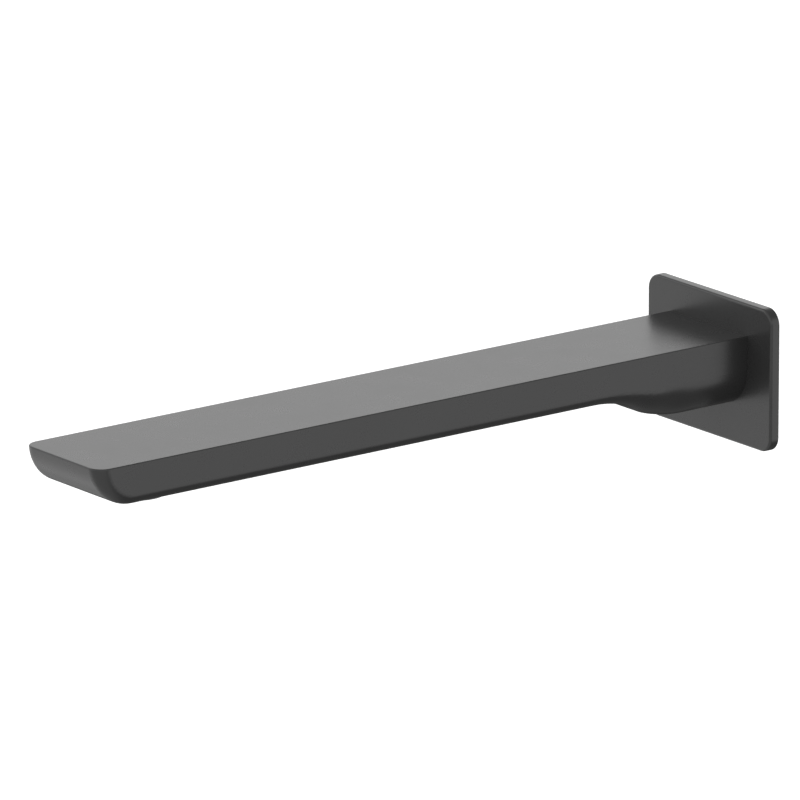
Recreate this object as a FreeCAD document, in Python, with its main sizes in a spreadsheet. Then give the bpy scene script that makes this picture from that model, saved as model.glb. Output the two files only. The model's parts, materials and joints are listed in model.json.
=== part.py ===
import FreeCAD, Part
import math
import os
import re
import Sketcher
from FreeCAD import Placement, Rotation, Vector

# Wall mounted bath spout: a flat cast arm on a small rectangular wall plate,
# slipped over a threaded nipple and held by a grub screw under the neck.
# The origin is the centre of the wall face. Y points into the wall, so the
# arm reaches towards minus Y, X is its width and Z is up. Sizes are in mm.

SIZES = {
    # Arm and neck, one casting
    "reach": 250.5,              # wall face to the top edge of the tip
    "arm_width": 38.0,
    "top_height": 12.7,          # flat top above the inlet axis
    "arm_depth": 12.9,
    "neck_depth": 23.7,
    "neck_run": 22.6,            # wall face to the start of the rise
    "rise_run": 39.6,            # run of the curve from neck to arm
    "swell_run": 7.4,            # start of the rise to the end of the edges' swelling
    "tip_radius": 14.0,
    "tip_edge_radius": 4.8,      # side edges of the tip where they meet the top
    "arm_edge_radius": 3.5,      # lower edges along the arm
    "neck_edge_radius": 12.9,    # lower edges along the neck
    "top_edge_radius": 0.4,
    # Waterway cast inside the arm
    "side_wall": 2.75,
    "roof_wall": 2.4,
    "floor_wall": 2.4,
    "channel_edge_radius": 1.5,
    "channel_setback": 11.5,     # tip to the blind end of the channel
    "throat_width": 12.0,
    "throat_edge_radius": 5.6,
    "throat_overlap": 3.25,      # round bore that runs on into the throat
    "throat_run": 26.0,          # from the spigot bore to the full channel
    # Wall plate and its gasket
    "plate_width": 60.6,
    "plate_height": 45.4,
    "plate_thickness": 3.25,
    "plate_corner_radius": 5.0,
    "plate_edge_radius": 0.8,
    "gasket_thickness": 1.2,
    "gasket_margin": 3.2,        # plate edge to gasket edge
    "gasket_corner_radius": 3.0,
    "gasket_hole": 22.4,         # clears the inlet thread
    # Key on the back of the neck that squares the plate
    "key_width": 25.0,
    "key_height": 18.8,
    "key_corner_radius": 4.0,
    "key_gap": 0.15,
    "key_root": 2.6,             # key that runs on into the neck
    # Inlet nipple
    "inlet_thread_diameter": 20.955,
    "inlet_thread_length": 13.0,
    "thread_lead_in": 1.2,
    "spigot_diameter": 16.0,
    "spigot_length": 30.0,       # wall face to the front of the spigot
    "spigot_lead_in": 0.8,
    "spigot_gap": 0.1,           # radial, spigot to bore
    "spigot_end_gap": 1.0,
    "nipple_bore": 9.9,
    "nipple_hex": 10.0,          # across flats, for the fitting key
    "nipple_hex_length": 7.0,
    "seal_depth": 1.5,           # groove depth for the ring seals
    "seal_width": 2.4,
    "seal_bevel": 0.5,
    "front_seal_place": 20.5,    # from the wall face
    "rear_seal_place": 16.0,
    # Grub screw and the groove that it bites in
    "screw_place": 9.4,          # from the wall face
    "screw_diameter": 5.0,
    "screw_point": 1.3,
    "screw_point_radius": 1.2,
    "screw_recess": 0.3,
    "screw_hex": 2.5,
    "screw_hex_depth": 1.6,
    "screw_gap": 0.05,
    "groove_depth": 1.2,
    # Outlet with its screwed-in aerator
    "outlet_setback": 27.7,      # tip to the outlet axis
    "outlet_bore": 18.0,
    "outlet_wall": 2.5,
    "outlet_seat": 5.2,          # underside of the arm to the washer seat
    "seat_thickness": 1.2,
    "seat_bore": 13.8,
    "washer_thickness": 1.0,
    "shell_gap": 0.1,
    "rim_diameter": 19.0,
    "rim_height": 2.75,
    "rim_edge_radius": 0.4,
    "lip_thickness": 0.6,
    "lip_bore": 14.4,
    "shell_bore": 15.8,
    "cartridge_gap": 0.1,
    "cartridge_wall": 0.8,
    "comb_thickness": 1.5,
    "cell_size": 1.55,           # across flats
    "cell_wall": 0.4,
    "ledge_drop": 2.4,           # cartridge top to the jet plate's ledge
    "ledge_step": 0.3,
    "jet_thickness": 1.4,
    "jet_hole": 1.1,
    "jet_circle": 9.6,
    "jet_inner_circle": 4.8,
    "screen_thickness": 0.5,
    "screen_radius": 5.6,
    "screen_height": 2.2,
    "screen_slot": 0.8,
    "screen_hub": 1.6,           # outlet axis to the start of a slot
    "mesh_thickness": 0.3,
}

# Places and sizes that follow from the ones above
DERIVED = {
    "arm_floor": "(top_height - arm_depth)",
    "neck_floor": "(top_height - neck_depth)",
    "rise_end": "(neck_run + rise_run)",
    "rise_middle": "(neck_run + rise_run / 2)",
    "swell_end": "(neck_run + swell_run)",
    "tip_rise": "(arm_floor + tip_radius - top_height)",
    "tip_centre": "(reach - sqrt(tip_radius ^ 2 - tip_rise ^ 2))",
    "rise_edge_radius": "((arm_edge_radius + neck_edge_radius) / 2)",
    "channel_floor": "(arm_floor + floor_wall)",
    "channel_roof": "(top_height - roof_wall)",
    "channel_width": "(arm_width - 2 * side_wall)",
    "channel_height": "(channel_roof - channel_floor)",
    "bore_end": "(spigot_length + spigot_end_gap)",
    "throat_end": "(bore_end + throat_run)",
    "bore_radius": "(spigot_diameter / 2 + spigot_gap)",
    "key_length": "(plate_thickness - gasket_thickness - key_gap)",
    "gasket_width": "(plate_width - 2 * gasket_margin)",
    "gasket_height": "(plate_height - 2 * gasket_margin)",
    "opening_width": "(key_width + 2 * key_gap)",
    "opening_height": "(key_height + 2 * key_gap)",
    "seal_root": "(spigot_diameter / 2 - seal_depth)",
    "groove_root": "(spigot_diameter / 2 - groove_depth)",
    "groove_floor": "(screw_point_radius + screw_gap)",
    "outlet_place": "(reach - outlet_setback)",
    "seat_level": "(arm_floor + outlet_seat)",
    "boss_top": "(seat_level + seat_thickness)",
    "shell_top": "(seat_level - washer_thickness)",
    "rim_floor": "(arm_floor - rim_height)",
    "lip_top": "(rim_floor + lip_thickness)",
    "shell_radius": "(outlet_bore / 2 - shell_gap)",
    "cartridge_radius": "(shell_bore / 2 - cartridge_gap)",
    "cartridge_bore_radius": "(cartridge_radius - cartridge_wall)",
    "comb_top": "(lip_top + comb_thickness)",
    "ledge_level": "(shell_top - ledge_drop)",
    "insert_radius": "(cartridge_bore_radius + ledge_step - cartridge_gap)",
    "jet_top": "(ledge_level + jet_thickness)",
}

JET_HOLES = 12
JET_INNER_HOLES = 6
SCREEN_SLOTS = 8
COMB_RINGS = 3
TOLERANCE = 1e-4
ALONG_ARM = Rotation(Vector(1, 0, 0), 90)

doc = FreeCAD.newDocument("bath_spout")


# Named sizes

def make_sheet():
    """Put every driving size in a cell that carries its name."""
    cells = doc.addObject("Spreadsheet::Sheet", "Sizes")
    for row, (name, value) in enumerate(SIZES.items(), start=1):
        cells.set(f"A{row}", name)
        cells.set(f"B{row}", str(value))
        cells.setAlias(f"B{row}", name)
    doc.recompute()
    return cells


sheet = make_sheet()


def sized(text):
    """Spell out an expression so that it reads its sizes from the sheet."""
    def spell(match):
        word = match.group()
        if word in DERIVED:
            return sized(DERIVED[word])
        return "Sizes." + word if word in SIZES else word
    return re.sub(r"[a-z][a-z_]+", spell, str(text))


def value(text):
    """Work out an expression on the sheet's names as a number."""
    return float(sheet.evalExpression(sized(text)))


def bind(obj, **sizes):
    """Tie an object's properties to the sheet; two underscores stand for a point."""
    for name, text in sizes.items():
        obj.setExpression(name.replace("__", "."), sized(text))


def label(obj, name):
    obj.Label = name
    return obj


# Sketches

def origin_plane(body, role):
    return next(plane for plane in body.Origin.OriginFeatures if plane.Role == role)


def new_sketch(body, name, role, offset="0"):
    """Start a sketch on one of the body's own planes, moved along its normal."""
    sketch = body.newObject("Sketcher::SketchObject", name)
    sketch.AttachmentSupport = (origin_plane(body, role), [""])
    sketch.MapMode = "FlatFace"
    bind(sketch, AttachmentOffset__Base__z=offset)
    return sketch


def hold(sketch, kind, refs, text):
    """Add one sized constraint and tie it to the sheet."""
    index = sketch.addConstraint(Sketcher.Constraint(kind, *refs, value(text)))
    sketch.setExpression(f"Constraints[{index}]", sized(text))


def hold_point(sketch, curve, end, place):
    """Hold an end of a curve at a place given from the sketch's origin."""
    for axis, kind, text in ((-2, "DistanceX", place[0]), (-1, "DistanceY", place[1])):
        if str(text) == "0":
            sketch.addConstraint(Sketcher.Constraint("PointOnObject", curve, end, axis))
        else:
            hold(sketch, kind, (-1, 1, curve, end), text)


def draw_outline(sketch, corners):
    """Draw a closed outline of straight edges through corners from the sheet."""
    points = [Vector(value(x), value(y), 0) for x, y in corners]
    lines = []
    for start, end in zip(points, points[1:] + points[:1]):
        lines.append(sketch.addGeometry(Part.LineSegment(start, end), False))
    for line, following in zip(lines, lines[1:] + lines[:1]):
        sketch.addConstraint(Sketcher.Constraint("Coincident", line, 2, following, 1))
    for line, corner in zip(lines, corners):
        hold_point(sketch, line, 1, corner)


def draw_circle(sketch, diameter, centre=("0", "0")):
    """Draw a circle whose diameter and centre come from the sheet."""
    middle = Vector(value(centre[0]), value(centre[1]), 0)
    circle = Part.Circle(middle, Vector(0, 0, 1), value(diameter) / 2)
    index = sketch.addGeometry(circle, False)
    hold(sketch, "Diameter", (index,), diameter)
    hold_point(sketch, index, 3, centre)


def draw_rounded_box(sketch, width, height, radius, middle="0"):
    """Draw a box with round corners, its middle at a given height."""
    half_w, half_h, r = value(width) / 2, value(height) / 2, value(radius)
    y0 = value(middle)
    up = Vector(0, 0, 1)
    signs = ((1, 1), (-1, 1), (-1, -1), (1, -1))
    arcs = []
    for quarter, (sx, sy) in enumerate(signs):
        centre = Vector(sx * (half_w - r), y0 + sy * (half_h - r), 0)
        circle = Part.Circle(centre, up, r)
        start = quarter * math.pi / 2
        arc = Part.ArcOfCircle(circle, start, start + math.pi / 2)
        arcs.append(sketch.addGeometry(arc, False))
    for arc, following in zip(arcs, arcs[1:] + arcs[:1]):
        start = sketch.getPoint(arc, 2)
        end = sketch.getPoint(following, 1)
        line = sketch.addGeometry(Part.LineSegment(start, end), False)
        sketch.addConstraint(Sketcher.Constraint("Tangent", arc, 2, line, 1))
        sketch.addConstraint(Sketcher.Constraint("Tangent", line, 2, following, 1))
    for arc in arcs[1:]:
        sketch.addConstraint(Sketcher.Constraint("Equal", arcs[0], arc))
    hold(sketch, "Radius", (arcs[0],), radius)
    top_right = (f"{width} / 2 - {radius}", f"{middle} + {height} / 2 - {radius}")
    low_left = (f"-{width} / 2 + {radius}", f"{middle} - {height} / 2 + {radius}")
    hold_point(sketch, arcs[0], 3, top_right)
    hold_point(sketch, arcs[2], 3, low_left)
    sketch.addConstraint(Sketcher.Constraint("Horizontal", arcs[0], 3, arcs[1], 3))
    sketch.addConstraint(Sketcher.Constraint("Vertical", arcs[0], 3, arcs[3], 3))


def draw_hexagon(sketch, across_flats, centre=("0", "0")):
    """Draw a hexagon of a given size across its flats."""
    index = [None] * 6
    middle = Vector(value(centre[0]), value(centre[1]), 0)
    corner = value(across_flats) / math.sqrt(3)
    points = []
    for turn in range(6):
        angle = math.radians(60 * turn)
        points.append(middle + Vector(corner * math.cos(angle), corner * math.sin(angle), 0))
    for side in range(6):
        edge = Part.LineSegment(points[side], points[(side + 1) % 6])
        index[side] = sketch.addGeometry(edge, False)
    circle = Part.Circle(middle, Vector(0, 0, 1), corner)
    ring = sketch.addGeometry(circle, True)
    for side in range(6):
        after = index[(side + 1) % 6]
        sketch.addConstraint(Sketcher.Constraint("Coincident", index[side], 2, after, 1))
        sketch.addConstraint(Sketcher.Constraint("PointOnObject", index[side], 1, ring))
        if side:
            sketch.addConstraint(Sketcher.Constraint("Equal", index[0], index[side]))
    hold_point(sketch, ring, 3, centre)
    sketch.addConstraint(Sketcher.Constraint("Horizontal", index[0], 1, ring, 3))
    hold(sketch, "Diameter", (ring,), f"2 * {across_flats} / sqrt(3)")


# Features

def new_body(name):
    return label(doc.addObject("PartDesign::Body", name), name)


def pad(body, sketch, length, middle=False, backwards=False):
    """Raise a sketch into a solid."""
    feature = body.newObject("PartDesign::Pad", sketch.Name + "Pad")
    feature.Profile = sketch
    feature.Midplane = middle
    feature.Reversed = backwards
    bind(feature, Length=length)
    doc.recompute()
    return feature


def pocket(body, sketch, length, backwards=False):
    """Sink a sketch into the solid and make sure that it cuts."""
    before = body.Shape.Volume
    feature = body.newObject("PartDesign::Pocket", sketch.Name + "Pocket")
    feature.Profile = sketch
    feature.Reversed = backwards
    bind(feature, Length=length)
    doc.recompute()
    if body.Shape.Volume > before - TOLERANCE:
        raise RuntimeError(f"{feature.Label} cuts nothing")
    return feature


def revolve(body, sketch):
    """Turn a profile once round the sketch's upright axis."""
    feature = body.newObject("PartDesign::Revolution", sketch.Name + "Turn")
    feature.Profile = sketch
    feature.ReferenceAxis = (sketch, ["V_Axis"])
    feature.Angle = 360
    doc.recompute()
    return feature


def turned(name, role, corners):
    """Make a turned piece from half of its section."""
    body = new_body(name)
    sketch = new_sketch(body, name + "_section", role)
    draw_outline(sketch, corners)
    revolve(body, sketch)
    return body


def round_edges(body, radius, wanted):
    """Round the edges of the body that a test picks out."""
    tip = body.Tip
    names = [f"Edge{i}" for i, edge in enumerate(tip.Shape.Edges, start=1) if wanted(edge)]
    feature = body.newObject("PartDesign::Fillet", body.Name + "Round")
    feature.Base = (tip, names)
    bind(feature, Radius=radius)
    doc.recompute()
    return feature


def cylinder(name, radius, height, place, along_arm=False):
    """Make a plain cylinder, upright or lying along the arm."""
    solid = label(doc.addObject("Part::Cylinder", name), name)
    if along_arm:
        solid.Placement = Placement(Vector(0, 0, 0), ALONG_ARM)
    x, y, z = place
    bind(solid, Radius=radius, Height=height)
    bind(solid, Placement__Base__x=x, Placement__Base__y=y, Placement__Base__z=z)
    return solid


def fuse(name, *pieces):
    solid = label(doc.addObject("Part::MultiFuse", name), name)
    solid.Shapes = list(pieces)
    doc.recompute()
    return solid


def cut(name, base, tool):
    """Cut a tool out of a base and make sure that it cuts."""
    solid = label(doc.addObject("Part::Cut", name), name)
    solid.Base = base
    solid.Tool = tool
    doc.recompute()
    if solid.Shape.Volume > base.Shape.Volume - TOLERANCE:
        raise RuntimeError(f"{name} cuts nothing")
    return solid


def ring_points(count, radius, turn=0.0):
    """Give points spaced evenly round a circle."""
    for number in range(count):
        angle = turn + 2 * math.pi * number / count
        yield Vector(radius * math.cos(angle), radius * math.sin(angle), 0)


# Spout body

def draw_side(sketch):
    """Draw the arm, rise and neck from the side, with Y across and Z up."""
    top, low, neck = value("top_height"), value("arm_floor"), value("neck_floor")
    back, run, end = -value("plate_thickness"), -value("neck_run"), -value("rise_end")
    tip = value("tip_radius")
    drop = low - neck
    turn = 2 * math.atan2(drop, value("rise_run"))
    bend = value("rise_run") / (2 * math.sin(turn))
    up = Vector(0, 0, 1)
    tip_y = -value("tip_centre")
    tip_start = math.pi + math.asin(value("tip_rise") / tip)
    tip_circle = Part.Circle(Vector(tip_y, low + tip, 0), up, tip)
    crest_circle = Part.Circle(Vector(end, low - bend, 0), up, bend)
    foot_circle = Part.Circle(Vector(run, neck + bend, 0), up, bend)
    quarter = math.pi / 2
    level = 3 * quarter
    split = level - math.asin(value("swell_run") / bend)
    shapes = [
        Part.LineSegment(Vector(back, top, 0), Vector(-value("reach"), top, 0)),
        Part.ArcOfCircle(tip_circle, tip_start, level),
        Part.LineSegment(Vector(tip_y, low, 0), Vector(end, low, 0)),
        Part.ArcOfCircle(crest_circle, quarter - turn, quarter),
        Part.ArcOfCircle(foot_circle, level - turn, split),
        Part.ArcOfCircle(foot_circle, split, level),
        Part.LineSegment(Vector(run, neck, 0), Vector(back, neck, 0)),
        Part.LineSegment(Vector(back, neck, 0), Vector(back, top, 0)),
    ]
    roof, nose, floor, crest, foot, ball, sole, heel = sketch.addGeometry(shapes, False)
    joints = (("Coincident", roof, 2, nose, 1), ("Tangent", nose, 2, floor, 1),
              ("Tangent", floor, 2, crest, 2), ("Tangent", crest, 1, foot, 1),
              ("Tangent", foot, 2, ball, 1), ("Tangent", ball, 2, sole, 1),
              ("Coincident", sole, 2, heel, 1),
              ("Coincident", heel, 2, roof, 1), ("Horizontal", floor),
              ("Horizontal", sole), ("Vertical", heel), ("Horizontal", roof),
              ("Equal", crest, foot), ("Equal", foot, ball))
    for joint in joints:
        sketch.addConstraint(Sketcher.Constraint(*joint))
    hold(sketch, "Radius", (nose,), "tip_radius")
    hold_point(sketch, roof, 2, ("-reach", "top_height"))
    hold(sketch, "DistanceX", (-1, 1, heel, 1), "-plate_thickness")
    hold_point(sketch, floor, 2, ("-rise_end", "arm_floor"))
    hold_point(sketch, sole, 1, ("-neck_run", "neck_floor"))
    hold(sketch, "DistanceX", (-1, 1, foot, 2), "-swell_end")


def make_casting_block():
    """Raise the side view to the arm's width and add the key behind it."""
    block = new_body("casting_block")
    side = new_sketch(block, "side_view", "YZ_Plane")
    draw_side(side)
    pad(block, side, "arm_width", middle=True)
    key = new_sketch(block, "key_outline", "XZ_Plane", "plate_thickness - key_length")
    draw_rounded_box(key, "key_width", "key_height", "key_corner_radius")
    pad(block, key, "key_length + key_root")
    return block


def round_casting(block):
    """Round the lower edges with a radius that swells from arm to neck."""
    stations = (("reach", "tip_edge_radius"), ("tip_centre", "arm_edge_radius"),
                ("rise_end", "arm_edge_radius"), ("rise_middle", "rise_edge_radius"),
                ("swell_end", "neck_edge_radius"), ("neck_run", "neck_edge_radius"),
                ("plate_thickness", "neck_edge_radius"))
    half_width = value("arm_width") / 2

    def radius_at(y):
        nearest = min(stations, key=lambda station: abs(value(station[0]) + y))
        return value(nearest[1])

    def on_side(edge, side):
        box = edge.BoundBox
        along_top = box.ZMin > value("top_height") - TOLERANCE
        beside = abs(box.Center.x - side * half_width) < TOLERANCE
        return beside and box.YLength > TOLERANCE and not along_top

    radii = []
    for side in (-1, 1):
        edges = enumerate(block.Shape.Edges, start=1)
        chain = [(number, edge) for number, edge in edges if on_side(edge, side)]
        leader = chain[0][1]
        start, end = (leader.valueAt(place).y for place in leader.ParameterRange)
        for number, edge in chain:
            ends = sorted((vertex.Point.y for vertex in edge.Vertexes), reverse=start > end)
            radii.append((number, radius_at(ends[0]), radius_at(ends[-1])))
    lower = label(doc.addObject("Part::Fillet", "lower_rounding"), "lower_rounding")
    lower.Base = block
    lower.Edges = radii
    doc.recompute()

    def round_top(edge):
        box = edge.BoundBox
        behind = box.YMax > -value("plate_thickness") - TOLERANCE and box.YLength < TOLERANCE
        return box.ZMin > value("top_height") - TOLERANCE and not behind

    radius = value("top_edge_radius")
    upper = label(doc.addObject("Part::Fillet", "upper_rounding"), "upper_rounding")
    upper.Base = lower
    edges = enumerate(lower.Shape.Edges, start=1)
    upper.Edges = [(number, radius, radius) for number, edge in edges if round_top(edge)]
    doc.recompute()
    return upper


def make_core():
    """Make the waterway core: a throat that spreads into a flat channel."""
    core = new_body("waterway_core")
    throat = new_sketch(core, "throat_section", "XZ_Plane", "bore_end")
    draw_rounded_box(throat, "throat_width", "throat_width", "throat_edge_radius")
    spread = new_sketch(core, "spread_section", "XZ_Plane", "throat_end")
    middle = "channel_floor + channel_height / 2"
    channel = ("channel_width", "channel_height", "channel_edge_radius", middle)
    draw_rounded_box(spread, *channel)
    loft = core.newObject("PartDesign::AdditiveLoft", "throat_spread")
    loft.Profile = throat
    loft.Sections = [spread]
    loft.Ruled = True
    doc.recompute()
    run = new_sketch(core, "channel_section", "XZ_Plane", "throat_end")
    draw_rounded_box(run, *channel)
    pad(core, run, "reach - channel_setback - throat_end")
    return core


def make_spout_body():
    """Cast the arm round its core, then bore it for nipple, screw and aerator."""
    casting = round_casting(make_casting_block())
    outlet = ("0", "-outlet_place")
    boss = cylinder("outlet_boss", "outlet_bore / 2 + outlet_wall",
                    "boss_top - arm_floor", (*outlet, "arm_floor"))
    core = cut("core_round_boss", make_core(), boss)
    spigot_bore = cylinder("spigot_bore", "bore_radius", "bore_end",
                           ("0", "0", "0"), along_arm=True)
    thread_bore = cylinder("aerator_bore", "outlet_bore / 2", "outlet_seat",
                           (*outlet, "arm_floor"))
    seat_bore = cylinder("seat_bore", "seat_bore / 2", "boss_top - arm_floor + seat_thickness",
                         (*outlet, "arm_floor"))
    screw_hole = cylinder("screw_hole", "screw_diameter / 2 + screw_gap", "-neck_floor",
                          ("0", "-screw_place", "neck_floor"))
    throat_bore = cylinder("throat_bore", "throat_width / 2", "bore_end + throat_overlap",
                           ("0", "0", "0"), along_arm=True)
    hollows = fuse("hollows", core, spigot_bore, throat_bore, thread_bore, seat_bore, screw_hole)
    return cut("spout_body", casting, hollows)


# Wall plate and gasket

def make_wall_plate():
    """Make the plate with a soft front edge, the key's opening and a back recess."""
    plate = new_body("wall_plate")
    outline = new_sketch(plate, "plate_outline", "XZ_Plane")
    draw_rounded_box(outline, "plate_width", "plate_height", "plate_corner_radius")
    pad(plate, outline, "plate_thickness")
    front = -value("plate_thickness")
    round_edges(plate, "plate_edge_radius", lambda edge: edge.BoundBox.YMax < front + TOLERANCE)
    opening = new_sketch(plate, "key_opening", "XZ_Plane")
    draw_rounded_box(opening, "opening_width", "opening_height", "key_corner_radius")
    pocket(plate, opening, "plate_thickness", backwards=True)
    recess = new_sketch(plate, "gasket_recess", "XZ_Plane")
    draw_rounded_box(recess, "gasket_width", "gasket_height", "gasket_corner_radius")
    pocket(plate, recess, "gasket_thickness", backwards=True)
    return plate


def make_plate_gasket():
    """Make the flat gasket that fills the plate's recess up to the wall face."""
    gasket = new_body("plate_gasket")
    outline = new_sketch(gasket, "gasket_outline", "XZ_Plane")
    draw_rounded_box(outline, "gasket_width", "gasket_height", "gasket_corner_radius")
    draw_circle(outline, "gasket_hole")
    pad(gasket, outline, "gasket_thickness")
    return gasket


# Inlet nipple, its seals and the grub screw

def make_inlet_nipple():
    """Turn the nipple: wall thread, screw groove, two seal grooves and a key socket."""
    radius = "spigot_diameter / 2"
    thread = "inlet_thread_diameter / 2"
    flare = "groove_floor + groove_depth"
    section = [
        ("nipple_bore / 2", "inlet_thread_length"),
        (thread + " - thread_lead_in", "inlet_thread_length"),
        (thread, "inlet_thread_length - thread_lead_in"),
        (thread, "0"),
        (radius, "0"),
        (radius, f"-screw_place + {flare}"),
        ("groove_root", "-screw_place + groove_floor"),
        ("groove_root", "-screw_place - groove_floor"),
        (radius, f"-screw_place - ({flare})"),
    ]
    for place in ("rear_seal_place", "front_seal_place"):
        section += [
            (radius, f"-{place} + seal_width / 2"),
            ("seal_root", f"-{place} + seal_width / 2"),
            ("seal_root", f"-{place} - seal_width / 2"),
            (radius, f"-{place} - seal_width / 2"),
        ]
    section += [
        (radius, "-spigot_length + spigot_lead_in"),
        (radius + " - spigot_lead_in", "-spigot_length"),
        ("nipple_bore / 2", "-spigot_length"),
    ]
    nipple = turned("inlet_nipple", "XY_Plane", section)
    socket = new_sketch(nipple, "key_socket", "XZ_Plane", "spigot_length - nipple_hex_length")
    draw_hexagon(socket, "nipple_hex")
    pocket(nipple, socket, "nipple_hex_length", backwards=True)
    return nipple


def make_spigot_seal(name, place):
    """Make a ring seal as it lies squeezed in its groove, with its edges drawn in."""
    back = f"-{place} + seal_width / 2"
    front = f"-{place} - seal_width / 2"
    return turned(name, "XY_Plane", [
        ("seal_root + seal_bevel", back),
        ("bore_radius - seal_bevel", back),
        ("bore_radius", back + " - seal_bevel"),
        ("bore_radius", front + " + seal_bevel"),
        ("bore_radius - seal_bevel", front),
        ("seal_root + seal_bevel", front),
        ("seal_root", front + " + seal_bevel"),
        ("seal_root", back + " - seal_bevel"),
    ])


def make_grub_screw():
    """Turn the screw with its cone point up and sink the key socket from below."""
    body = turned("grub_screw", "XZ_Plane", [
        ("0", "neck_floor + screw_recess"),
        ("screw_diameter / 2", "neck_floor + screw_recess"),
        ("screw_diameter / 2", "-groove_root - screw_point"),
        ("screw_point_radius", "-groove_root"),
        ("0", "-groove_root"),
    ])
    socket = new_sketch(body, "screw_socket", "XY_Plane", "neck_floor + screw_recess")
    draw_hexagon(socket, "screw_hex")
    pocket(body, socket, "screw_hex_depth", backwards=True)
    bind(body, Placement__Base__y="-screw_place")
    return body


# Aerator

def at_outlet(body):
    """Move a piece that was turned on the upright axis to the outlet."""
    bind(body, Placement__Base__y="-outlet_place")
    return body


def make_aerator_shell():
    """Turn the metal shell: threaded sleeve, proud rim and inward lip."""
    return at_outlet(turned("aerator_shell", "XZ_Plane", [
        ("lip_bore / 2", "rim_floor"),
        ("rim_diameter / 2 - rim_edge_radius", "rim_floor"),
        ("rim_diameter / 2", "rim_floor + rim_edge_radius"),
        ("rim_diameter / 2", "arm_floor"),
        ("shell_radius", "arm_floor"),
        ("shell_radius", "shell_top"),
        ("shell_bore / 2", "shell_top"),
        ("shell_bore / 2", "lip_top"),
        ("lip_bore / 2", "lip_top"),
    ]))


def make_aerator_washer():
    """Make the flat washer between the seat in the arm and the aerator."""
    return at_outlet(turned("aerator_washer", "XZ_Plane", [
        ("seat_bore / 2", "shell_top"),
        ("shell_radius", "shell_top"),
        ("shell_radius", "seat_level"),
        ("seat_bore / 2", "seat_level"),
    ]))


def comb_centres():
    """Give the cell centres of a honeycomb in rings round the middle cell."""
    pitch = value("cell_size + cell_wall")
    across = Vector(pitch, 0, 0)
    slant = Vector(pitch / 2, pitch * math.sqrt(3) / 2, 0)
    for column in range(-COMB_RINGS, COMB_RINGS + 1):
        for row in range(-COMB_RINGS, COMB_RINGS + 1):
            if abs(column + row) <= COMB_RINGS:
                yield across * column + slant * row


def make_comb_cells():
    """Make the six-sided cells of the outlet comb as one group of prisms."""
    height = value("comb_thickness")
    corner = value("cell_size") / math.sqrt(3)
    low = Vector(0, 0, value("lip_top"))
    cells = []
    for centre in comb_centres():
        corners = [centre + low + point for point in ring_points(6, corner, math.pi / 6)]
        face = Part.Face(Part.makePolygon(corners + corners[:1]))
        cells.append(face.extrude(Vector(0, 0, height)))
    group = label(doc.addObject("Part::Feature", "comb_cells"), "comb_cells")
    group.Shape = Part.makeCompound(cells)
    return group


def make_aerator_cartridge():
    """Make the plastic cup whose floor is the honeycomb outlet."""
    cup = turned("cartridge_cup", "XZ_Plane", [
        ("0", "lip_top"),
        ("cartridge_radius", "lip_top"),
        ("cartridge_radius", "shell_top"),
        ("cartridge_bore_radius + ledge_step", "shell_top"),
        ("cartridge_bore_radius + ledge_step", "ledge_level"),
        ("cartridge_bore_radius", "ledge_level"),
        ("cartridge_bore_radius", "comb_top"),
        ("0", "comb_top"),
    ])
    return at_outlet(cut("aerator_cartridge", cup, make_comb_cells()))


def make_hole_group(name, holes, low, high):
    """Make round cutters for a list of centres and diameters as one group."""
    cutters = []
    for centre, diameter in holes:
        start = centre + Vector(0, 0, value(low))
        cutters.append(Part.makeCylinder(diameter / 2, value(high) - value(low), start))
    group = label(doc.addObject("Part::Feature", name), name)
    group.Shape = Part.makeCompound(cutters)
    return group


def make_jet_plate():
    """Make the plate that splits the flow into two rings of jets."""
    blank = turned("jet_blank", "XZ_Plane", [
        ("0", "ledge_level"),
        ("insert_radius", "ledge_level"),
        ("insert_radius", "jet_top"),
        ("0", "jet_top"),
    ])
    hole = value("jet_hole")
    outer = ring_points(JET_HOLES, value("jet_circle") / 2)
    inner = ring_points(JET_INNER_HOLES, value("jet_inner_circle") / 2)
    holes = [(centre, hole) for centre in (*outer, *inner)]
    cutters = make_hole_group("jet_holes", holes, "ledge_level", "jet_top")
    return at_outlet(cut("jet_plate", blank, cutters))


def make_filter_screen():
    """Make the raised screen with radial slots that keeps grit out of the jets."""
    cap = turned("screen_cap", "XZ_Plane", [
        ("screen_radius - screen_thickness", "jet_top"),
        ("insert_radius", "jet_top"),
        ("insert_radius", "shell_top"),
        ("screen_radius", "shell_top"),
        ("screen_radius - screen_height / 2", "shell_top + screen_height"),
        ("0", "shell_top + screen_height"),
        ("0", "shell_top + screen_height - screen_thickness"),
        ("screen_radius - screen_height / 2 - screen_thickness / 2",
         "shell_top + screen_height - screen_thickness"),
        ("screen_radius - screen_thickness", "shell_top"),
    ])
    slot, inside, outside = value("screen_slot"), value("screen_hub"), value("screen_radius")
    top = value("shell_top + screen_height")
    slots = []
    for number in range(SCREEN_SLOTS):
        box = Part.makeBox(outside - inside, slot, value("screen_height") - slot / 2,
                           Vector(inside, -slot / 2, value("shell_top") + slot / 2))
        box.rotate(Vector(0, 0, top), Vector(0, 0, 1), 360 * number / SCREEN_SLOTS)
        slots.append(box)
    group = label(doc.addObject("Part::Feature", "screen_slots"), "screen_slots")
    group.Shape = Part.makeCompound(slots)
    return at_outlet(cut("filter_screen", cap, group))


def make_mesh_disc():
    """Make the disc of fine mesh that lies on the honeycomb."""
    return at_outlet(turned("mesh_disc", "XZ_Plane", [
        ("0", "comb_top"),
        ("cartridge_bore_radius", "comb_top"),
        ("cartridge_bore_radius", "comb_top + mesh_thickness"),
        ("0", "comb_top + mesh_thickness"),
    ]))


# Whole part

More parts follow.
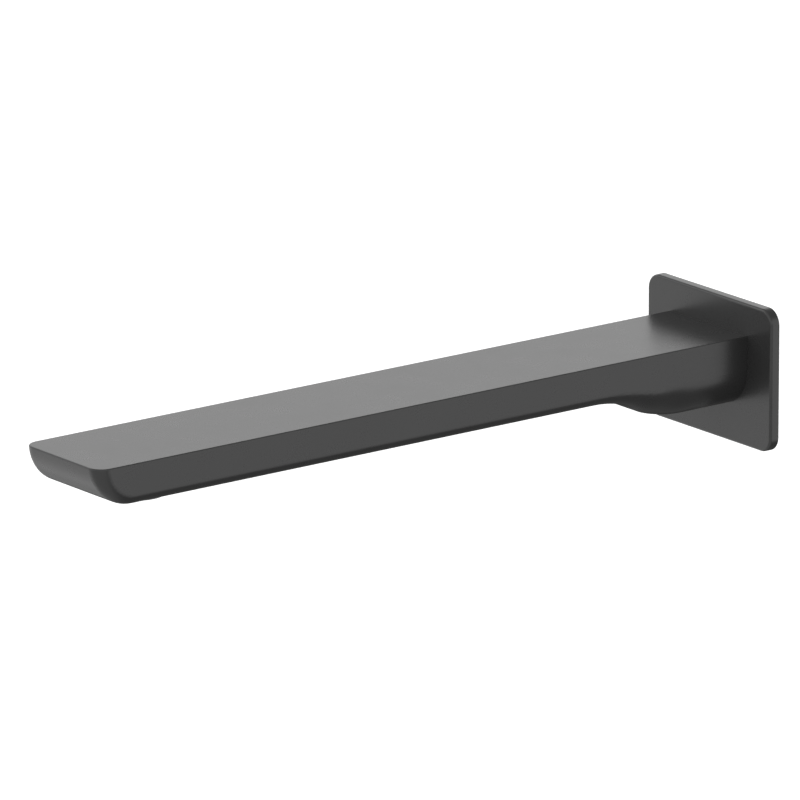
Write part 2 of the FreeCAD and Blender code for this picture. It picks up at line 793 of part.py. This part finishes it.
pieces = [
    make_spout_body(),
    make_wall_plate(),
    make_plate_gasket(),
    make_inlet_nipple(),
    make_spigot_seal("rear_spigot_seal", "rear_seal_place"),
    make_spigot_seal("front_spigot_seal", "front_seal_place"),
    make_grub_screw(),
    make_aerator_shell(),
    make_aerator_washer(),
    make_aerator_cartridge(),
    make_mesh_disc(),
    make_jet_plate(),
    make_filter_screen(),
]
doc.recompute()

for item in doc.Objects:
    if "Invalid" in item.State or "Error" in item.State:
        raise RuntimeError(f"{item.Label} failed: {item.State}")
for piece in pieces:
    if piece.Shape.isNull() or not piece.Shape.isValid():
        raise RuntimeError(f"{piece.Label} has no valid shape")

os.makedirs("parts", exist_ok=True)
for piece in pieces:
    piece.Shape.exportStep(f"parts/{piece.Label}.step")
    print(f"{piece.Label}: {len(piece.Shape.Solids)} solid, {piece.Shape.Volume:.1f} mm3")
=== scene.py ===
import json
import math

import bpy
from mathutils import Matrix, Vector


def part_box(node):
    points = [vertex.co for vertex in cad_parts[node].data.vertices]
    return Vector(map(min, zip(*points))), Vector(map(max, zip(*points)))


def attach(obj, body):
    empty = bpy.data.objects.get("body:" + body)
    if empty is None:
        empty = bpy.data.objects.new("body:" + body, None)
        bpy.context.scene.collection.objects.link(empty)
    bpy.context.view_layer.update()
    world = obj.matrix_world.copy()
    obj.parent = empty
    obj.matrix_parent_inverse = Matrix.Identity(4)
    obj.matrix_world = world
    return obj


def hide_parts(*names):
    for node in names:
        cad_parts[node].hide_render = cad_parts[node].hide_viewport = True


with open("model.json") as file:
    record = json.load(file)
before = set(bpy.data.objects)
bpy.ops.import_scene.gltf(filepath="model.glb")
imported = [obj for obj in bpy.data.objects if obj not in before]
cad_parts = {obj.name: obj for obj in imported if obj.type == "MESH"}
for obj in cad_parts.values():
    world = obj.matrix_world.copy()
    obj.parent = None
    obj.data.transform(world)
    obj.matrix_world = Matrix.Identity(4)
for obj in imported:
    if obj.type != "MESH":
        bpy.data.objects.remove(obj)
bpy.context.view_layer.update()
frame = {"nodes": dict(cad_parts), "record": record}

# Wall mounted bath spout in a soft white studio. Metres, with the origin at the
# centre of the wall face, Y into the wall and Z up.

MM = 0.001

# The photograph's view: a long lens from the front right, a little above
VIEW_TURN = math.radians(52.474)
VIEW_TILT = math.radians(15.709)
VIEW_DISTANCE = 3.655
VIEW_END = 30.0
PICTURE_SIZE = 800
LENS_PIXELS = 11830.0
PLATE_PIXEL = (716.88, 361.05)
SENSOR = 36.0


def add_object(name, data):
    """Put a mesh, light or camera into the scene."""
    made = bpy.data.objects.new(name, data)
    bpy.context.scene.collection.objects.link(made)
    return made


# Shader values

# Sockets of a Mix node for colours, by number because their names repeat
MIX_SHARE, MIX_FIRST, MIX_SECOND, MIX_RESULT = 0, 6, 7, 2


class Value:
    """A number, vector or colour that varies over a surface: one node's output."""

    def __init__(self, graph, socket):
        self.graph = graph
        self.socket = socket

    def maths(self, operation, first, second=0.0):
        return self.graph.node("ShaderNodeMath", {"operation": operation}, {0: first, 1: second})

    def __add__(self, other):
        return self.maths("ADD", self, other)

    def __radd__(self, other):
        return self.maths("ADD", other, self)

    def __sub__(self, other):
        return self.maths("SUBTRACT", self, other)

    def __rsub__(self, other):
        return self.maths("SUBTRACT", other, self)

    def __mul__(self, other):
        return self.maths("MULTIPLY", self, other)

    def __rmul__(self, other):
        return self.maths("MULTIPLY", other, self)

    def absolute(self):
        return self.maths("ABSOLUTE", self)

    def wave(self):
        return self.maths("SINE", self)

    def at_least(self, other):
        return self.maths("MAXIMUM", self, other)

    def mixed_with(self, other, share):
        """Trade a share of this for another value."""
        return self + (other - self) * share

    def spread(self, low, high):
        """Go evenly from low to high while this goes from nought to one."""
        return low + (high - low) * self

    def part(self, axis):
        """Give one coordinate of a vector."""
        return self.graph.node("ShaderNodeSeparateXYZ", None, {0: self}, out=axis)

    def ease(self, low, high, start=0.0, end=1.0):
        """Go smoothly from start to end while this goes from low to high."""
        inputs = {"Value": self, "From Min": low, "From Max": high, "To Min": start, "To Max": end}
        return self.graph.node("ShaderNodeMapRange", {"interpolation_type": "SMOOTHSTEP"}, inputs)


class Graph:
    """The node tree of one material or of the studio's surroundings."""

    def __init__(self, tree):
        self.tree = tree
        tree.nodes.clear()

    def node(self, kind, settings=None, inputs=None, out=0):
        """Add a node: its settings first, then numbers or links for its sockets."""
        made = self.tree.nodes.new(kind)
        for name, setting in (settings or {}).items():
            setattr(made, name, setting)
        for name, source in (inputs or {}).items():
            if isinstance(source, Value):
                self.tree.links.new(source.socket, made.inputs[name])
            else:
                made.inputs[name].default_value = source
        return Value(self, made.outputs[out]) if made.outputs else None

    def place(self):
        """Give a place on the piece, in metres."""
        return self.node("ShaderNodeTexCoord", out="Object")

    def noise(self, size, detail=2.0, where=None):
        """Give soft noise whose lumps are about a size in metres."""
        inputs = {"Vector": where or self.place(), "Scale": 1 / size, "Detail": detail}
        return self.node("ShaderNodeTexNoise", None, inputs)

    def blend(self, share, first, second):
        """Mix two colours by a share from nought to one."""
        inputs = {MIX_SHARE: share, MIX_FIRST: first, MIX_SECOND: second}
        return self.node("ShaderNodeMix", {"data_type": "RGBA"}, inputs, out=MIX_RESULT)

    def bump(self, height, depth):
        """Turn a height from nought to one into a normal, its depth in metres."""
        return self.node("ShaderNodeBump", None, {"Height": height, "Distance": depth})


def grey(level):
    return (level, level, level, 1.0)


def make_material(name, base_color, roughness, **others):
    """Make a material; each socket gets a plain value, or a function of the graph."""
    material = bpy.data.materials.new(name)
    material.use_nodes = True
    graph = Graph(material.node_tree)
    inputs = {}
    for word, source in {"base_color": base_color, "roughness": roughness, **others}.items():
        socket = word.replace("_", " ").title()
        inputs[socket] = source(graph) if callable(source) else source
    shader = graph.node("ShaderNodeBsdfPrincipled", None, inputs)
    graph.node("ShaderNodeOutputMaterial", None, {"Surface": shader})
    return material


# Finishes. Each has two colours, two roughnesses, the sizes of its marks and the
# depth of its relief

COAT_COLOURS = (grey(0.026), grey(0.031))
COAT_ROUGHNESS = (0.25, 0.31)
COAT_CLOUD = 18 * MM
COAT_HAZE = 9 * MM
COAT_PEEL = 1.6 * MM
COAT_GRAIN = 0.22 * MM
GRAIN_IN_ROUGHNESS = 0.5
GRAIN_IN_RELIEF = 0.2
COAT_RELIEF = 0.004 * MM


def black_coat():
    """Smooth matt black coat with a faint grain and orange peel."""
    def colour(graph):
        return graph.blend(graph.noise(COAT_CLOUD, detail=3), *COAT_COLOURS)

    def roughness(graph):
        haze = graph.noise(COAT_HAZE, detail=3)
        grain = graph.noise(COAT_GRAIN, detail=1)
        return haze.mixed_with(grain, GRAIN_IN_ROUGHNESS).spread(*COAT_ROUGHNESS)

    def normal(graph):
        peel = graph.noise(COAT_PEEL, detail=1)
        grain = graph.noise(COAT_GRAIN)
        return graph.bump(peel.mixed_with(grain, GRAIN_IN_RELIEF), COAT_RELIEF)

    return make_material("matt_black_coat", colour, roughness, normal=normal)


BRASS_COLOURS = ((0.62, 0.43, 0.17, 1), (0.78, 0.58, 0.28, 1))
BRASS_ROUGHNESS = (0.22, 0.40)
BRASS_CLOUD = 6 * MM
BRASS_HAZE = 4 * MM
TURNING_PITCH = 0.16 * MM
TURNING_IN_ROUGHNESS = 4 / 9
TURNING_RELIEF = 0.006 * MM
WANDER_SIZE = 2 * MM
WANDER_ANGLE = 2.0


def turned_brass():
    """Bare brass with the fine rings that turning leaves."""
    def rings(graph):
        turns = graph.place().part("Y") * (2 * math.pi / TURNING_PITCH)
        wander = graph.noise(WANDER_SIZE) * WANDER_ANGLE
        return (turns + wander).wave() * 0.5 + 0.5

    def colour(graph):
        return graph.blend(graph.noise(BRASS_CLOUD, detail=4), *BRASS_COLOURS)

    def roughness(graph):
        haze = graph.noise(BRASS_HAZE, detail=3)
        return haze.mixed_with(rings(graph), TURNING_IN_ROUGHNESS).spread(*BRASS_ROUGHNESS)

    def normal(graph):
        return graph.bump(rings(graph), TURNING_RELIEF)

    return make_material("turned_brass", colour, roughness, normal=normal, metallic=1.0)


RUBBER_COLOURS = (grey(0.018), grey(0.03))
RUBBER_PORE = 0.1 * MM
FOAM_COLOURS = (grey(0.022), grey(0.05))
FOAM_PORE = 0.45 * MM
RUBBER_ROUGHNESS = (0.55, 0.75)
RUBBER_CLOUD = 3 * MM
# Share of the colour given to painted shade, darker in the pores' hollows
PORE_SHADE_IN_COLOUR = 0.5
# How soft the pores are, where their walls rise, and the size of the haze and
# the depth of the relief in pore sizes
PORE_SOFTNESS = 0.3
PORE_WALL = (0.1, 0.5)
HAZE_PER_PORE = 3
RELIEF_PER_PORE = 0.12


def moulded_rubber(name, colours, pore):
    """Black rubber or foam whose skin has pores of about a size in metres, their hollows painted
    darker as shade.
    """
    def pores(graph):
        inputs = {"Vector": graph.place(), "Scale": 1 / pore, "Smoothness": PORE_SOFTNESS}
        cells = graph.node("ShaderNodeTexVoronoi", {"feature": "SMOOTH_F1"}, inputs)
        return cells.ease(*PORE_WALL)

    # Random darker clouds, mixed with painted shade in the pores' hollows
    def colour(graph):
        cloud = graph.noise(RUBBER_CLOUD, detail=4)
        return graph.blend(cloud.mixed_with(pores(graph), PORE_SHADE_IN_COLOUR), *colours)

    def roughness(graph):
        return graph.noise(pore * HAZE_PER_PORE, detail=3).spread(*RUBBER_ROUGHNESS)

    def normal(graph):
        return graph.bump(pores(graph), pore * RELIEF_PER_PORE)

    return make_material(name, colour, roughness, normal=normal)


PLATE_COLOURS = ((0.80, 0.81, 0.83, 1), (0.88, 0.89, 0.91, 1))
PLATE_ROUGHNESS = (0.10, 0.32)
PLATE_CLOUD = 5 * MM
PLATE_SMEAR = 3 * MM
PLATE_RIPPLE = 0.5 * MM
PLATE_RELIEF = 0.001 * MM


def bright_plate():
    """Bright plating with faint clouds of handling marks."""
    def colour(graph):
        return graph.blend(graph.noise(PLATE_CLOUD), *PLATE_COLOURS)

    def roughness(graph):
        smear = graph.noise(PLATE_SMEAR, detail=4)
        return (smear * smear).spread(*PLATE_ROUGHNESS)

    def normal(graph):
        return graph.bump(graph.noise(PLATE_RIPPLE), PLATE_RELIEF)

    return make_material("bright_plate", colour, roughness, normal=normal, metallic=1.0)


STEEL_COLOURS = (grey(0.42), grey(0.58))
STEEL_ROUGHNESS = (0.24, 0.40)
SCRATCH_LENGTH = 1.0 * MM
SCRATCH_STRETCH = (1.0, 12.0, 12.0)
SCRATCH_RELIEF = 0.004 * MM


def screw_steel():
    """Stainless steel with fine scratches."""
    def scratches(graph):
        inputs = {"Vector": graph.place(), "Scale": SCRATCH_STRETCH}
        stretched = graph.node("ShaderNodeMapping", None, inputs)
        return graph.noise(SCRATCH_LENGTH, detail=3, where=stretched)

    def colour(graph):
        return graph.blend(scratches(graph), *STEEL_COLOURS)

    def roughness(graph):
        return scratches(graph).spread(*STEEL_ROUGHNESS)

    def normal(graph):
        return graph.bump(scratches(graph), SCRATCH_RELIEF)

    return make_material("screw_steel", colour, roughness, normal=normal, metallic=1.0)


# Painted shade: the first colour darkens the gaps and the dips, the second is the wires' steel
GAUZE_SHADE_AND_WIRE_COLOURS = (grey(0.03), grey(0.55))
GAUZE_ROUGHNESS = (0.22, 0.36)
GAUZE_PITCH = 0.3 * MM
GAUZE_HAZE = 1.0 * MM
GAUZE_RELIEF = GAUZE_PITCH / 3
# Heights from nought to one: the wires' middle level, how far they rise and dip,
# and where the painted shade in the gaps and dips ends and the wires begin
WIRE_LEVEL = 0.7
WIRE_SWING = 0.3
GAP_SHADE_EDGE = (0.30, 0.60)


def woven_gauze():
    """Fine steel gauze: two sets of wires that pass over and under each other, with painted shade
    in the gaps and where a wire dips under another.
    """
    def weave(graph):
        turn = math.pi / GAUZE_PITCH
        warp = (graph.place().part("X") * turn).wave()
        weft = (graph.place().part("Y") * turn).wave()
        over = warp * weft * WIRE_SWING
        warp_height = warp.absolute() * (WIRE_LEVEL + over)
        weft_height = weft.absolute() * (WIRE_LEVEL - over)
        return warp_height.at_least(weft_height)

    # Painted shade: the low parts of the weave, the gaps and the wires where they dip under, are
    # painted near black
    def colour(graph):
        return graph.blend(weave(graph).ease(*GAP_SHADE_EDGE), *GAUZE_SHADE_AND_WIRE_COLOURS)

    def roughness(graph):
        return graph.noise(GAUZE_HAZE, detail=3).spread(*GAUZE_ROUGHNESS)

    def normal(graph):
        return graph.bump(weave(graph), GAUZE_RELIEF)

    return make_material("woven_gauze", colour, roughness, normal=normal, metallic=1.0)


PLASTIC_COLOURS = (grey(0.50), grey(0.58))
PLASTIC_ROUGHNESS = (0.42, 0.56)
PLASTIC_CLOUD = 2 * MM
PLASTIC_HAZE = 0.4 * MM
SPARK_SIZE = 0.15 * MM
SPARK_RELIEF = 0.004 * MM


def aerator_plastic():
    """Light grey moulded plastic with a faint spark finish."""
    def colour(graph):
        return graph.blend(graph.noise(PLASTIC_CLOUD, detail=3), *PLASTIC_COLOURS)

    def roughness(graph):
        return graph.noise(PLASTIC_HAZE).spread(*PLASTIC_ROUGHNESS)

    def normal(graph):
        return graph.bump(graph.noise(SPARK_SIZE), SPARK_RELIEF)

    return make_material("aerator_plastic", colour, roughness, normal=normal)


def dress(finishes):
    """Give every CAD node the finish that the record names for it."""
    for part in frame["record"]["subparts"]:
        piece = frame["nodes"][part["node"]]
        piece.data.materials.clear()
        piece.data.materials.append(finishes[part["material_slot"]])


# Inlet nipple with its cut thread. The pipe thread has 14 turns to the inch

nipple_low, nipple_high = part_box("inlet_nipple")
mounts = {mount["name"]: mount for mount in frame["record"]["mounts"]}

THREAD_LENGTH = nipple_high.y
CREST_RADIUS = mounts["inlet_thread"]["dims"]["r_mm"] * MM
PITCH = 1.814 * MM
THREAD_DEPTH = 1.162 * MM
FLANK_STEEPNESS = 1.4
THREAD_LEAD_IN = 1.2 * MM
RUN_OUT = 1.6 * MM

SPIGOT_FRONT = nipple_low.y
SPIGOT_RADIUS = 8.0 * MM
SPIGOT_LEAD_IN = 0.8 * MM
# Grooves round the spigot: from the wall face to the middle, half the width of
# the floor, the depth, and how far each side leans out
GROOVES = (
    (9.4 * MM, 1.25 * MM, 1.2 * MM, 1.2 * MM),
    (16.0 * MM, 1.2 * MM, 1.5 * MM, 0.0),
    (20.5 * MM, 1.2 * MM, 1.5 * MM, 0.0),
)
EDGE_BREAK = 0.15 * MM

BORE_RADIUS = mounts["water_inlet"]["dims"]["r_mm"] * MM
SOCKET_DEPTH = 7.0 * MM
SOCKET_APOTHEM = 5.0 * MM
SOCKET_SIDES = 6

TURN_STEPS = 120
THREAD_ROWS = 108
SHARP_EDGE = math.radians(35)
ANGLES = [2 * math.pi * step / TURN_STEPS for step in range(TURN_STEPS)]


def thread_radius(angle, y):
    """Give the radius of the right-hand pipe thread at an angle and a depth."""
    turns = y / PITCH + angle / (2 * math.pi)
    # A zigzag with its ends cut off, then rounded: one at crests, nought at roots
    flank = (4 * abs(turns % 1.0 - 0.5) - 1.0) * FLANK_STEEPNESS
    flank = max(-1.0, min(1.0, flank))
    tooth = 0.5 + 0.25 * flank * (3 - flank * flank)
    depth = THREAD_DEPTH * (1 - tooth) * min(1.0, y / RUN_OUT)
    chamfer = max(0.0, y - THREAD_LENGTH + THREAD_LEAD_IN)
    return min(CREST_RADIUS - depth, CREST_RADIUS - chamfer)


def socket_radius(angle):
    """Give the radius of the six-sided key socket at an angle."""
    sector = 2 * math.pi / SOCKET_SIDES
    return SOCKET_APOTHEM / math.cos(angle % sector - sector / 2)


def spigot_section():
    """Give the outside of the spigot as radius and Y, from shoulder to front."""
    section = [(CREST_RADIUS, 0), (SPIGOT_RADIUS, 0)]
    for middle, half, depth, lean in GROOVES:
        root = SPIGOT_RADIUS - depth
        section += [(SPIGOT_RADIUS, half + lean - middle), (root, half - middle),
                    (root, -half - middle), (SPIGOT_RADIUS, -half - lean - middle)]
    return section + [(SPIGOT_RADIUS, SPIGOT_FRONT + SPIGOT_LEAD_IN),
                      (SPIGOT_RADIUS - SPIGOT_LEAD_IN, SPIGOT_FRONT)]


def broken_corners(section):
    """Cut a small flat across every inner corner of a turned section."""
    points = [Vector(point) for point in section]
    soft = [points[0]]
    for before, corner, after in zip(points, points[1:], points[2:]):
        for other in (before, after):
            edge = other - corner
            soft.append(corner + edge.normalized() * min(EDGE_BREAK, edge.length / 3))
    return soft + [points[-1]]


def nipple_rings():
    """Give the nipple's rings, each its radii and its Y: outside, then inside."""
    rings = []
    for row in range(THREAD_ROWS + 1):
        y = THREAD_LENGTH * (1 - row / THREAD_ROWS)
        rings.append(([thread_radius(angle, y) for angle in ANGLES], y))
    for radius, y in broken_corners(spigot_section())[1:]:
        rings.append(([radius] * TURN_STEPS, y))
    socket = [socket_radius(angle) for angle in ANGLES]
    socket_floor = SPIGOT_FRONT + SOCKET_DEPTH
    bore = [BORE_RADIUS] * TURN_STEPS
    rings += [(socket, SPIGOT_FRONT), (socket, socket_floor)]
    return rings + [(bore, socket_floor), (bore, THREAD_LENGTH)]


def skin_rings(name, rings):
    """Join rings about the Y axis to one closed skin, the last back to the first."""
    points = []
    for radii, y in rings:
        for angle, radius in zip(ANGLES, radii):
            points.append((radius * math.cos(angle), y, radius * math.sin(angle)))
    faces = []
    for ring in range(len(rings)):
        low = ring * TURN_STEPS
        high = (ring + 1) % len(rings) * TURN_STEPS
        for step in range(TURN_STEPS):
            after = (step + 1) % TURN_STEPS
            faces.append((low + step, low + after, high + after, high + step))
    mesh = bpy.data.meshes.new(name)
    mesh.from_pydata(points, [], faces)
    mesh.shade_smooth()
    mesh.set_sharp_from_angle(angle=SHARP_EDGE)
    return mesh


def make_inlet_nipple(finish):
    """Make the nipple as one piece: thread, spigot, key socket and bore."""
    nipple = add_object("threaded_nipple", skin_rings("threaded_nipple", nipple_rings()))
    nipple.data.materials.append(finish)
    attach(nipple, "root")
    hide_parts("inlet_nipple")


# Studio

FLOOR_DROP = 0.45
FLOOR_SIZE = 16.0
FLOOR_COLOURS = (grey(0.93), grey(0.95))
FLOOR_CLOUD = 0.4
FLOOR_ROUGHNESS = 0.9
FLOOR_GLOW = 0.5

# Brightness of the ground from front to back and of the sky above it, and the
# share of the sky's that is left overhead. The spans are where each changes, as
# Y or Z of a direction of length one
GROUND_SPAN, GROUND_LEVELS = (-0.15, 0.42), (0.78, 0.20)
SKY_SPAN, SKY_LEVELS = (0.0, 0.16), (0.0, 1.33)
OVERHEAD_SPAN, OVERHEAD_SHARES = (0.36, 0.62), (1.0, 0.25)

# Soft round patches: the direction to the middle, the cosines of the angles at
# which the patch starts and is full, and its brightness there
BACK_WALL = ((0.80, 0.62, -0.20), 0.86, 0.96, 1.26)
FRONT_PANEL = ((-0.76, -0.42, -0.49), 0.80, 0.96, 0.64)
FRONT_SPILL = ((-0.76, -0.42, -0.49), 0.55, 0.75, 0.56)
# The dark corner takes this share of the ground's brightness away
DARK_CORNER = ((-0.60, 0.75, -0.28), 0.88, 0.96, 0.8)

KEY_PLACE = (-1.6, -1.4, 1.6)
KEY_AIM = (0.0, -0.12, 0.0)
KEY_SIZE = 1.6
KEY_POWER = 6.0


def make_floor():
    """Lay a plain pale floor well below the part, clear when seen from below.

    It glows faintly and sends the part no light of its own.
    """
    def colour(graph):
        return graph.blend(graph.noise(FLOOR_CLOUD), *FLOOR_COLOURS)

    def one_sided(graph):
        return 1.0 - graph.node("ShaderNodeNewGeometry", out="Backfacing")

    half = FLOOR_SIZE / 2
    corners = [(-half, -half), (half, -half), (half, half), (-half, half)]
    mesh = bpy.data.meshes.new("floor")
    mesh.from_pydata([(x, y, -FLOOR_DROP) for x, y in corners], [], [(0, 1, 2, 3)])
    mesh.materials.append(make_material("pale_floor", colour, FLOOR_ROUGHNESS,
                                        alpha=one_sided, emission_strength=FLOOR_GLOW))
    floor = add_object("floor", mesh)
    floor.visible_diffuse = False
    floor.visible_glossy = False


def light_surroundings():
    """Light the part from all round, with a dim ground behind and to the left.

    The camera itself sees plain white behind the part.
    """
    world = bpy.data.worlds.new("studio")
    bpy.context.scene.world = world
    world.use_nodes = True
    graph = Graph(world.node_tree)
    direction = graph.node("ShaderNodeTexCoord", out="Generated")

    def patch(middle, start, full, level):
        inputs = {0: direction, 1: Vector(middle).normalized()}
        settings = {"operation": "DOT_PRODUCT"}
        cosine = graph.node("ShaderNodeVectorMath", settings, inputs, out="Value")
        return cosine.ease(start, full, 0.0, level)

    ground = direction.part("Y").ease(*GROUND_SPAN, *GROUND_LEVELS)
    ground = ground * (1.0 - patch(*DARK_CORNER))
    rise = direction.part("Z")
    sky = rise.ease(*SKY_SPAN, *SKY_LEVELS) * rise.ease(*OVERHEAD_SPAN, *OVERHEAD_SHARES)
    front = patch(*FRONT_PANEL) + patch(*FRONT_SPILL)
    level = ground.at_least(sky).at_least(patch(*BACK_WALL)).at_least(front)
    backdrop = graph.node("ShaderNodeLightPath", out="Is Camera Ray")
    strength = level.mixed_with(1.0, backdrop)
    light = graph.node("ShaderNodeBackground", None, {"Color": grey(1.0), "Strength": strength})
    graph.node("ShaderNodeOutputWorld", None, {"Surface": light})


def make_key_light():
    """Hang one large square soft light high at the front left."""
    data = bpy.data.lights.new("key_light", "AREA")
    data.shape = "SQUARE"
    data.size = KEY_SIZE
    data.energy = KEY_POWER
    light = add_object("key_light", data)
    light.location = KEY_PLACE
    facing = Vector(KEY_AIM) - Vector(KEY_PLACE)
    light.rotation_euler = facing.to_track_quat("-Z", "Y").to_euler()


def make_camera():
    """Set the camera so that the plate's centre falls on its pixel."""
    forward = Vector((-math.sin(VIEW_TURN) * math.cos(VIEW_TILT),
                      math.cos(VIEW_TURN) * math.cos(VIEW_TILT),
                      -math.sin(VIEW_TILT)))
    right = Vector((math.cos(VIEW_TURN), math.sin(VIEW_TURN), 0))
    up = right.cross(forward)
    middle = PICTURE_SIZE / 2
    metres = VIEW_DISTANCE / LENS_PIXELS
    across = (PLATE_PIXEL[0] - middle) * metres
    above = (middle - PLATE_PIXEL[1]) * metres
    data = bpy.data.cameras.new("camera")
    data.sensor_width = SENSOR
    data.lens = SENSOR * LENS_PIXELS / PICTURE_SIZE
    data.clip_end = VIEW_END
    camera = add_object("camera", data)
    camera.matrix_world = Matrix((right, up, -forward)).transposed().to_4x4()
    camera.location = -forward * VIEW_DISTANCE - right * across - up * above
    bpy.context.scene.camera = camera


make_camera()
finishes = {
    "matt_black_coat": black_coat(),
    "turned_brass": turned_brass(),
    "seal_rubber": moulded_rubber("seal_rubber", RUBBER_COLOURS, RUBBER_PORE),
    "gasket_foam": moulded_rubber("gasket_foam", FOAM_COLOURS, FOAM_PORE),
    "bright_plate": bright_plate(),
    "screw_steel": screw_steel(),
    "aerator_plastic": aerator_plastic(),
}
dress(finishes)
frame["nodes"]["mesh_disc"].data.materials[0] = woven_gauze()
make_inlet_nipple(finishes["turned_brass"])
make_floor()
light_surroundings()
make_key_light()
bpy.context.scene.view_settings.view_transform = "Standard"
